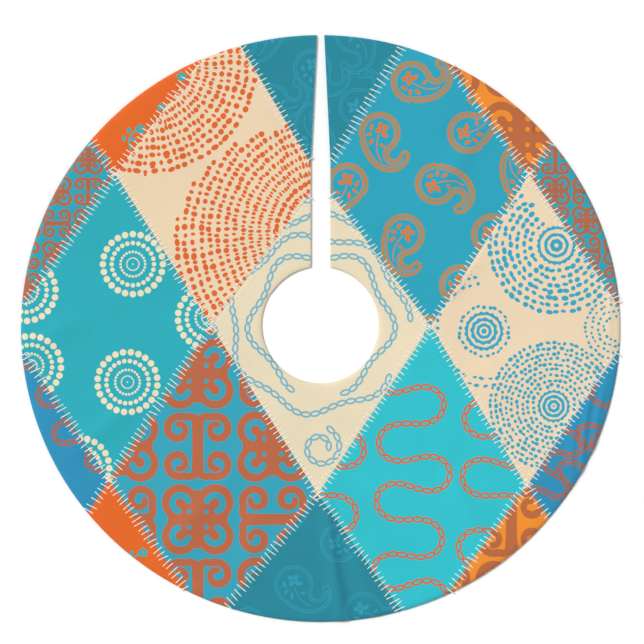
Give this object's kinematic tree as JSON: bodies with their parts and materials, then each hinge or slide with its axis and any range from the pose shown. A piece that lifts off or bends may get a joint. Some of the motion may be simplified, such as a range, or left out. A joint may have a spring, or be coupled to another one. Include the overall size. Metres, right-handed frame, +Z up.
{
  "type": "tree skirt",
  "caption": "Round flat patchwork tree skirt with a neck opening, a slit with fold-back corners, fleece, lining and tape tabs.",
  "frame": {"origin": "on the floor under the middle of the laid skirt", "axes": "+Z up from the floor, +Y from the middle along the slit to the rim, +X to the right seen from above"},
  "size_m": [1.118, 1.095, 0.0056],
  "materials": {
    "turquoise_rings": "matte brushed cloth, turquoise with rings of cream dots",
    "cream_chain": "matte brushed cloth, cream with blue chains",
    "cream_blue_dots": "matte brushed cloth, cream with blue dots and rings",
    "cream_orange_dots": "matte brushed cloth, cream with orange dots",
    "blue_paisley": "matte brushed cloth, blue with orange and brown paisleys",
    "red_scroll": "matte brushed cloth, blue with red-brown scrolls",
    "turquoise_chain": "matte brushed cloth, turquoise with orange-brown chains",
    "blue_chain": "matte brushed cloth, blue with brown chains",
    "orange_flower": "matte brushed cloth, orange with teal flowers",
    "brown_scroll": "matte brushed cloth, light orange with brown scrolls",
    "teal_paisley": "matte brushed cloth, dark teal with lighter paisleys",
    "lining": "plain off-white woven cloth",
    "fleece": "soft white fleece",
    "tab_cloth": "plain cream woven tape",
    "tape": "off-white hook-and-loop tape"
  },
  "bodies": {
    "skirt": {"turquoise_rings_patch": "turquoise_rings", "cream_chain_patch": "cream_chain", "cream_blue_dots_patch": "cream_blue_dots", "cream_orange_dots_patch": "cream_orange_dots", "blue_paisley_patch": "blue_paisley", "red_scroll_patch_far_left": "red_scroll", "red_scroll_patch_far_right": "red_scroll", "red_scroll_patch_lower_left": "red_scroll", "turquoise_chain_patch": "turquoise_chain", "blue_chain_patch_far_left": "blue_chain", "blue_chain_patch_far_right": "blue_chain", "orange_flower_patch_upper_left": "orange_flower", "orange_flower_patch_lower_left": "orange_flower", "brown_scroll_patch_upper_right": "brown_scroll", "brown_scroll_patch_lower_right": "brown_scroll", "teal_paisley_patch_bottom": "teal_paisley", "lining": "lining", "fleece_interlining": "fleece"},
    "left_corner": {"cream_chain_patch_left_corner": "cream_chain", "cream_orange_dots_patch_left_corner": "cream_orange_dots", "teal_paisley_patch_top_left": "teal_paisley", "left_corner_lining": "lining", "neck_tab_sewn_end": "tab_cloth", "middle_tab_sewn_end": "tab_cloth", "rim_tab_sewn_end": "tab_cloth"},
    "right_corner": {"cream_chain_patch_right_corner": "cream_chain", "blue_paisley_patch_right_corner": "blue_paisley", "teal_paisley_patch_top_right": "teal_paisley", "right_corner_lining": "lining", "neck_tab_loop_tape": "tape", "middle_tab_loop_tape": "tape", "rim_tab_loop_tape": "tape"},
    "neck_tab": {"neck_tab": "tab_cloth", "neck_tab_hook_tape": "tape"},
    "middle_tab": {"middle_tab": "tab_cloth", "middle_tab_hook_tape": "tape"},
    "rim_tab": {"rim_tab": "tab_cloth", "rim_tab_hook_tape": "tape"}
  },
  "joints": [
    {"name": "left_corner_fold", "type": "hinge", "parent": "skirt", "child": "left_corner", "pos_m": [-0.13357, 0.29085, 0.0059], "axis": [0.168, -0.9858, 0], "range_deg": [0, 170]},
    {"name": "right_corner_fold", "type": "hinge", "parent": "skirt", "child": "right_corner", "pos_m": [0.13357, 0.29085, 0.0059], "axis": [0.168, 0.9858, 0], "range_deg": [0, 170]},
    {"name": "neck_tab_turn", "type": "hinge", "parent": "left_corner", "child": "neck_tab", "pos_m": [-0.0205, 0.1495, 0.0012], "axis": [0, -1, 0], "range_deg": [0, 180]},
    {"name": "middle_tab_turn", "type": "hinge", "parent": "left_corner", "child": "middle_tab", "pos_m": [-0.0205, 0.3225, 0.0012], "axis": [0, -1, 0], "range_deg": [0, 180]},
    {"name": "rim_tab_turn", "type": "hinge", "parent": "left_corner", "child": "rim_tab", "pos_m": [-0.01212, 0.4955, 0.0012], "axis": [0, -1, 0], "range_deg": [0, 180]}
  ]
}
